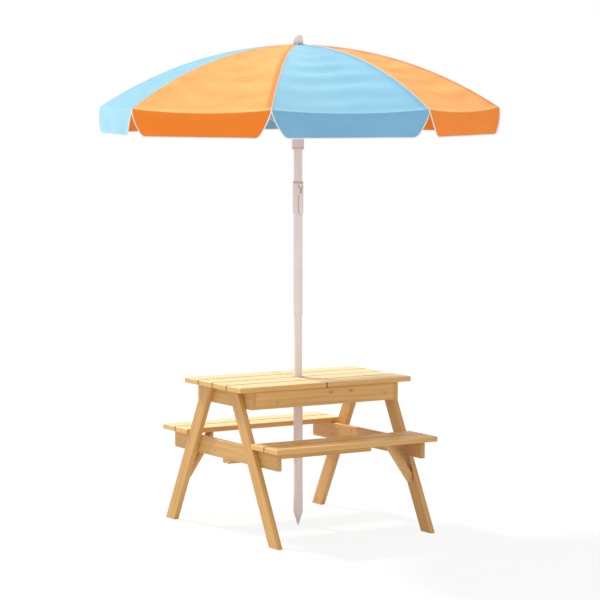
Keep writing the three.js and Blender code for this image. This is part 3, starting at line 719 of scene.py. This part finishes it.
def cloth(name, colour, lit_dome_tone, deep, seam_shade_tone, rim_highlight_tone, sheen, weight):
    """Plain woven polyester: threads in two directions from the UV map in metres, a dome painted
    paler than the flaps as painted light for the stronger light on its top, a slow change of tone,
    a deeper strip of painted shade on the dome beside one side of each seam, and a painted
    highlight along the fold at the rim."""
    material, graph, shader = new_material(name)
    uv = graph.nodes.new("ShaderNodeUVMap")
    uv.uv_map = "cut"
    parts = graph.nodes.new("ShaderNodeSeparateXYZ")
    graph.put(uv.outputs[0], parts.inputs[0])
    thread = 2 * math.pi / THREAD_PITCH
    warp = graph.math("SINE", graph.math("MULTIPLY", parts.outputs[0], thread))
    weft = graph.math("SINE", graph.math("MULTIPLY", parts.outputs[1], thread))
    weave = graph.math("MULTIPLY", warp, weft)
    slow = graph.noise(graph.place(uv.outputs[0], scale=(1, 2.2, 1)), 6, 3, 0.55)
    rim = graph.nodes.new("ShaderNodeAttribute")
    rim.attribute_name = "rim"
    dome = graph.math("GREATER_THAN", rim.outputs["Fac"], 0.0)
    # Painted light: the dome takes a paler tone than the flaps, for the stronger light on its top.
    tone = graph.mix(dome, colour, lit_dome_tone)
    tone = graph.mix(graph.math("MULTIPLY", graph.smooth(slow, 0.3, 0.75), SLOW_SHARE), tone, deep)
    # Painted shade: a deeper strip on the dome beside one side of each seam, where the cloth slopes
    # away from the light.
    strip = graph.smooth(parts.outputs[0], -SEAM_SHADE_WIDTH - 0.005, -SEAM_SHADE_WIDTH + 0.007)
    seam_shade_mask = graph.math("MULTIPLY", strip, graph.math("LESS_THAN", parts.outputs[0], 0.0))
    seam_shade_mask = graph.math("MULTIPLY", graph.math("MULTIPLY", seam_shade_mask, dome), SEAM_SHADE_SHARE)
    tone = graph.mix(seam_shade_mask, tone, seam_shade_tone)
    # Painted highlight: a paler line along the fold at the rim, where the cloth turns to the light.
    highlight_mask = graph.math("MULTIPLY", graph.smooth(rim.outputs["Fac"], HIGHLIGHT_WIDTH, 0.002), dome)
    tone = graph.mix(graph.math("MULTIPLY", highlight_mask, HIGHLIGHT_SHARE), tone, rim_highlight_tone)
    seam = graph.nodes.new("ShaderNodeAttribute")
    seam.attribute_name = "seam"
    near = graph.math("COMPARE", seam.outputs["Fac"], STITCH_REACH, STITCH_WIDTH)
    along = graph.math("SINE", graph.math("MULTIPLY", parts.outputs[1], STITCH_PHASE))
    stitch = graph.math("MULTIPLY", near, graph.math("GREATER_THAN", along, STITCH_DASH))
    tone = graph.mix(graph.math("MULTIPLY", stitch, STITCH_SHARE), tone, deep)
    graph.put(tone, shader.inputs["Base Color"])
    graph.put(graph.math("MULTIPLY_ADD", weave, 0.04, 0.78), shader.inputs["Roughness"])
    shader.inputs["Sheen Weight"].default_value = weight
    shader.inputs["Sheen Roughness"].default_value = 0.42
    shader.inputs["Sheen Tint"].default_value = sheen
    shader.inputs["Specular IOR Level"].default_value = 0.2
    height = graph.math("MULTIPLY_ADD", stitch, -STITCH_DEPTH, weave)
    bump(graph, height, shader, distance=0.00012)
    return material


# In each cloth below, the dome's paler tone is painted light, the strip beside the seams painted
# shade and the rim tone a painted highlight.
ORANGE = cloth(
    "orange_cloth", colour=srgb(255, 138, 40), lit_dome_tone=srgb(255, 175, 98), deep=srgb(252, 122, 28),
    seam_shade_tone=srgb(240, 108, 20), rim_highlight_tone=srgb(255, 212, 140),
    sheen=(1.0, 0.86, 0.42, 1), weight=0.3)
BLUE = cloth(
    "blue_cloth", colour=srgb(132, 187, 218), lit_dome_tone=srgb(134, 194, 224), deep=srgb(113, 168, 204),
    seam_shade_tone=srgb(100, 156, 200), rim_highlight_tone=srgb(176, 220, 242),
    sheen=(0.65, 1.0, 1.0, 1), weight=1.0)
PIPING = cloth(
    "white_tape", colour=srgb(246, 243, 240), lit_dome_tone=srgb(246, 243, 240), deep=srgb(226, 220, 216),
    seam_shade_tone=srgb(226, 220, 216), rim_highlight_tone=srgb(250, 248, 246),
    sheen=(1.0, 1.0, 1.0, 1), weight=0.3)


def panel_surface(panel, across, out):
    """Outer face of a panel, across from one rib (0) to the next (1) and out from the hole (0) to
    the rim (1): level chords between two ribs that drop part as a cone and part with a power of
    their reach, a sag between the ribs, cloth that rises beside each seam, and level wrinkles."""
    reach = CANOPY_HOLE + (CANOPY_RADIUS - CANOPY_HOLE) * out
    start = CANOPY_TURN + panel * RIB_ANGLE
    x = reach * ((1 - across) * math.cos(start) + across * math.cos(start + RIB_ANGLE))
    y = reach * ((1 - across) * math.sin(start) + across * math.sin(start + RIB_ANGLE))
    bow = 4 * across * (1 - across)
    aside = np.minimum(across, 1 - across) * 2 * reach * math.sin(RIB_ANGLE / 2)
    inside = np.sin(math.pi * np.clip(out, 0, 1))
    rise = SEAM_RISE * (1 - np.exp(-aside / SEAM_WIDTH)) * inside ** 0.5
    bend = WRINKLE_BEND * np.sin(math.pi * (WRINKLE_BENDS * across + panel))
    phase = WRINKLE_SHIFT * panel + bend
    wrinkle = WRINKLE_HEIGHT * bow ** 1.2 * np.sin(2 * math.pi * (WRINKLES * out + phase))
    wrinkle *= inside ** 0.7
    sag = bow * (PANEL_SAG * np.sin(math.pi * out) + RIM_SAG * out ** 2)
    share = reach / CANOPY_RADIUS
    drop = CANOPY_RISE * (CONE_SHARE * share + (1 - CONE_SHARE) * share ** CURVE_SHARE)
    z = CANOPY_APEX - drop - sag + rise + wrinkle
    return np.stack([x, y, z], axis=-1)


def flap_surface(panel, across, down):
    """Outer face of a flap, across as its panel and down from the rim (0) to the hem (1): it hangs
    straight from the sagging rim to a level hem, narrows towards the hem with round corners, and
    waves a little."""
    rim_width = 2 * CANOPY_RADIUS * math.sin(RIB_ANGLE / 2)
    corner = np.clip(1 - (1 - down) * FLAP_DEPTH / CORNER_RADIUS, 0, 1)
    inset = FLAP_TAPER * down ** FLAP_CURVE + CORNER_RADIUS * (1 - np.sqrt(1 - corner ** 2))
    narrowed = 0.5 + (across - 0.5) * (1 - 2 * inset / rim_width)
    ones = np.ones_like(across)
    middle = CANOPY_TURN + (panel + 0.5) * RIB_ANGLE
    outward = np.array([math.cos(middle), math.sin(middle), 0])
    wave = FLAP_WAVE * down * np.sin(4 * math.pi * across) + FLAP_FLARE * (1 - (1 - down) ** 3)
    points = panel_surface(panel, narrowed, ones) + wave[..., None] * outward
    rim = panel_surface(panel, across, ones)[..., 2]
    hem = CANOPY_APEX - CANOPY_RISE - FLAP_DEPTH
    points[..., 2] = rim + (hem - rim) * down
    return points


def grid_faces(index):
    """Quads of a grid of vertex numbers, anticlockwise when rows run out and columns run
    anticlockwise."""
    corners = [index[:-1, :-1], index[1:, :-1], index[1:, 1:], index[:-1, 1:]]
    return np.stack(corners, axis=-1).reshape(-1, 4)


def mark_open_edges(mesh):
    """Marks edges of a single face sharp, so that a wall added there leaves the outer face's
    shading alone."""
    users = np.zeros(len(mesh.loops), np.int32)
    mesh.loops.foreach_get("edge_index", users)
    sharp = np.zeros(len(mesh.edges), bool)
    mesh.edges.foreach_get("use_edge_sharp", sharp)
    sharp |= np.bincount(users, minlength=len(mesh.edges)) == 1
    mesh.edges.foreach_set("use_edge_sharp", sharp)


def mesh_object(name, points, faces, smooth_under=None):
    """Mesh object from arrays of points and quads, smooth where faces meet at under an angle."""
    mesh = bpy.data.meshes.new(name)
    mesh.vertices.add(len(points))
    mesh.vertices.foreach_set("co", np.asarray(points, np.float32).ravel())
    mesh.loops.add(faces.size)
    mesh.loops.foreach_set("vertex_index", faces.astype(np.int32).ravel())
    mesh.polygons.add(len(faces))
    starts = np.arange(0, faces.size, faces.shape[1], dtype=np.int32)
    mesh.polygons.foreach_set("loop_start", starts)
    mesh.update(calc_edges=True)
    mesh.polygons.foreach_set("use_smooth", np.ones(len(faces), bool))
    if smooth_under is not None:
        mesh.set_sharp_from_angle(angle=smooth_under)
        mark_open_edges(mesh)
    mesh.validate()
    made = bpy.data.objects.new(name, mesh)
    bpy.context.scene.collection.objects.link(made)
    return made


def half_dome(panel, side, out, share):
    """Half a panel of the dome beside a rib, and past the panel's middle where the cloth has to
    reach further to close the folded cover. There it lies just under the half that the next rib
    carries."""
    reach = np.interp(out, OVERLAP_OUT, OVERLAP_SHARES) * share
    points = panel_surface(panel, 0.5 * reach if side > 0 else 1 - 0.5 * reach, out)
    points[..., 2] -= OVERLAP_DIP * (1 - np.exp(-np.clip(reach - 1, 0, 1) / OVERLAP_BLEND))
    return points


def gore_points(rib):
    """Points and quads of the cover's part that a rib carries: half a panel and half a flap on
    each side. Also which quads are past the rib, and the point numbers of the two flaps and of
    the dome as grids."""
    before, after = (rib - 1) % RIBS, rib
    share = np.linspace(0, 1, CELLS_ACROSS + 1)
    out = np.linspace(0, 1, CELLS_OUT + 1)
    down = np.sin(np.linspace(0, math.pi / 2, CELLS_DOWN + 1))[1:]
    rows, shares = np.meshgrid(out, share, indexing="ij")
    near_side = half_dome(before, -1, rows, shares)[:, ::-1]
    far_side = half_dome(after, 1, rows, shares)[:, 1:]
    dome = np.concatenate([near_side, far_side], axis=1)
    rows, shares = np.meshgrid(down, share, indexing="ij")
    left = flap_surface(before, 0.5 + 0.5 * shares, rows)
    right = flap_surface(after, 0.5 * shares, rows)
    columns = 2 * CELLS_ACROSS + 1
    dome_index = np.arange(dome.shape[0] * columns).reshape(-1, columns)
    left_index = dome_index.size + np.arange(rows.size).reshape(rows.shape)
    right_index = left_index + rows.size
    left_index = np.vstack([dome_index[-1:, :CELLS_ACROSS + 1], left_index])
    right_index = np.vstack([dome_index[-1:, CELLS_ACROSS:], right_index])
    halves = [dome_index[:, :CELLS_ACROSS + 1], dome_index[:, CELLS_ACROSS:]]
    faces = [grid_faces(block) for block in halves + [left_index, right_index]]
    past = np.concatenate([np.full(len(face), side) for face, side in zip(faces, (0, 1, 0, 1))])
    points = np.concatenate([dome.reshape(-1, 3), left.reshape(-1, 3), right.reshape(-1, 3)])
    return points, np.concatenate(faces), past, (left_index, right_index, dome_index)


def rim_distance(dome, count):
    """Distance of each point of the dome inside the rim, in metres, and -1 for a flap's points."""
    distance = np.full(count, -1.0, np.float32)
    inside = (CANOPY_RADIUS - CANOPY_HOLE) * np.linspace(1, 0, CELLS_OUT + 1)
    distance[dome] = inside[:, None]
    return distance


def rib_directions(rib):
    """Level directions out along a rib and, anticlockwise, across it."""
    angle = CANOPY_TURN + rib * RIB_ANGLE
    cosine, sine = math.cos(angle), math.sin(angle)
    return np.array([cosine, sine, 0]), np.array([-sine, cosine, 0])


def tube_points(path, radius):
    """Tube round a path: circles square to the path, in rows along it, that shrink to a point at
    its ends."""
    ahead = np.gradient(path, axis=0)
    ahead /= np.linalg.norm(ahead, axis=1, keepdims=True)
    side = np.cross(ahead, [0.31, 0.17, 0.94])
    side /= np.linalg.norm(side, axis=1, keepdims=True)
    top = np.cross(side, ahead)
    turn = np.arange(TUBE_SIDES) * 2 * math.pi / TUBE_SIDES
    ring = np.cos(turn)[None, :, None] * side[:, None] + np.sin(turn)[None, :, None] * top[:, None]
    reach = np.full((len(path), 1, 1), radius)
    reach[[0, -1]] = 0
    index = np.arange(len(path) * TUBE_SIDES).reshape(-1, TUBE_SIDES)
    points = path[:, None] + reach * ring
    return points.reshape(-1, 3), grid_faces(np.hstack([index, index[:, :1]]))


def joined(name, shells, smooth_under=None):
    """One mesh object of several closed shells, given as points and quads."""
    points, faces = zip(*shells)
    starts = np.cumsum([0] + [len(part) for part in points[:-1]])
    quads = np.concatenate([part + start for part, start in zip(faces, starts)])
    made = mesh_object(name, np.concatenate(points), quads, smooth_under)
    merge(made.data, made.data)
    return made


def tape_tube(path, radius):
    """Tube of the tape along a path, closed just past the path's ends."""
    past = 1e-3
    first = path[0] + (path[0] - path[1]) * past
    last = path[-1] + (path[-1] - path[-2]) * past
    return tube_points(np.vstack([first, path, last]), radius)


def cut_map(made, points, rib):
    """UV map in metres: the distance across the rib, and the distance out from the pole plus the
    drop below a level."""
    outward, sideways = rib_directions(rib)
    cut = np.stack([points @ sideways, points @ outward + CUT_LEVEL - points[:, 2]], axis=-1)
    corner = np.zeros(len(made.data.loops), np.int32)
    made.data.loops.foreach_get("vertex_index", corner)
    layer = made.data.uv_layers.new(name="cut")
    layer.data.foreach_set("uv", cut[corner].astype(np.float32).ravel())


def make_gore(rib):
    """One rib's share of the cover, with its tape. Both ride on the rib."""
    outward, sideways = rib_directions(rib)
    points, faces, past, (left, right, dome) = gore_points(rib)
    gore = mesh_object(f"cover_part_{rib + 1}", points, faces, CLOTH_CREASE)
    for panel in (rib - 1, rib):
        gore.data.materials.append((ORANGE, BLUE)[panel % 2])
    gore.data.polygons.foreach_set("material_index", past.astype(np.int32))
    cut_map(gore, points, rib)
    seam = gore.data.attributes.new("seam", "FLOAT", "POINT")
    seam.data.foreach_set("value", np.abs(points @ sideways).astype(np.float32))
    rim = gore.data.attributes.new("rim", "FLOAT", "POINT")
    rim.data.foreach_set("value", rim_distance(dome, len(points)))
    solid = gore.modifiers.new("thickness", "SOLIDIFY")
    solid.thickness = CLOTH_THICKNESS
    solid.offset = -1

    ridge = points[dome[:, CELLS_ACROSS]] + np.array([0, 0, TAPE_LIFT])
    tubes = [tape_tube(ridge, RIDGE_RADIUS)]
    for flap, edge, step in ((left, -1, -1), (right, 0, 1)):
        border = np.concatenate([flap[:, edge], flap[-1, ::step][1:]])
        tubes.append(tape_tube(points[border], HEM_RADIUS))
    tape = joined(f"cover_tape_{rib + 1}", tubes)
    place = np.zeros(3 * len(tape.data.vertices), np.float32)
    tape.data.vertices.foreach_get("co", place)
    cut_map(tape, place.reshape(-1, 3), rib)
    tape.data.materials.append(PIPING)

    for part in (gore, tape):
        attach(part, f"rib_{rib + 1}")
        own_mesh(part)
    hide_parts("canopy")


for rib in range(RIBS):
    make_gore(rib)


# Screws

def screw_head(centre, outward):
    """Pan head on a face: a low dome over its radius, with a cross cut into its top and a flat
    underside that is let into the board."""
    shares = np.append(np.linspace(0, 1, SCREW_RINGS), [1, 0])
    turns = np.arange(SCREW_SPOKES) * 2 * math.pi / SCREW_SPOKES
    share, turn = np.meshgrid(shares, turns, indexing="ij")
    across, up = share * SCREW_RADIUS * np.cos(turn), share * SCREW_RADIUS * np.sin(turn)
    dome = SCREW_HEIGHT * np.sqrt(np.clip(1 - share ** 4, 0, 1))
    cross = (np.minimum(np.abs(across), np.abs(up)) < SCREW_SLOT) & (share < SCREW_SLOT_REACH)
    dome = dome - np.where(cross, SCREW_SLOT_DEPTH * SCREW_HEIGHT, 0)
    dome[SCREW_RINGS:] = -SCREW_SEAT
    outward = np.asarray(outward, float)
    first = np.cross(outward, [0.3, 0.5, 0.81])
    first /= np.linalg.norm(first)
    second = np.cross(outward, first)
    points = centre + across[..., None] * first + up[..., None] * second + dome[..., None] * outward
    index = np.arange(share.size).reshape(share.shape)
    return points.reshape(-1, 3), grid_faces(np.hstack([index, index[:, :1]]))


def add_screws():
    """Screws on the inner faces of the beams and side boards, which hold the legs, and under the
    stretcher."""
    beam_face = abs(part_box("left_beam")[1].x)
    stretcher_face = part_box("stretcher")[0].z
    heads = []
    for side in (-1, 1):
        for depth in (-1, 1):
            for height, offset in LEG_SCREWS:
                y = depth * (LEG_FOOT_REACH - LEG_SLOPE * height + offset)
                heads.append(screw_head((side * beam_face, y, height), (-side, 0, 0)))
            x = side * (beam_face + STRETCHER_SCREW_INSET)
            place = (x, depth * STRETCHER_SCREW_OFFSET, stretcher_face)
            heads.append(screw_head(place, (0, 0, -1)))
    screws = joined("screw_heads", heads, SCREW_CREASE)
    screws.data.materials.append(SCREW_STEEL)
    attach(screws, "table")


add_screws()
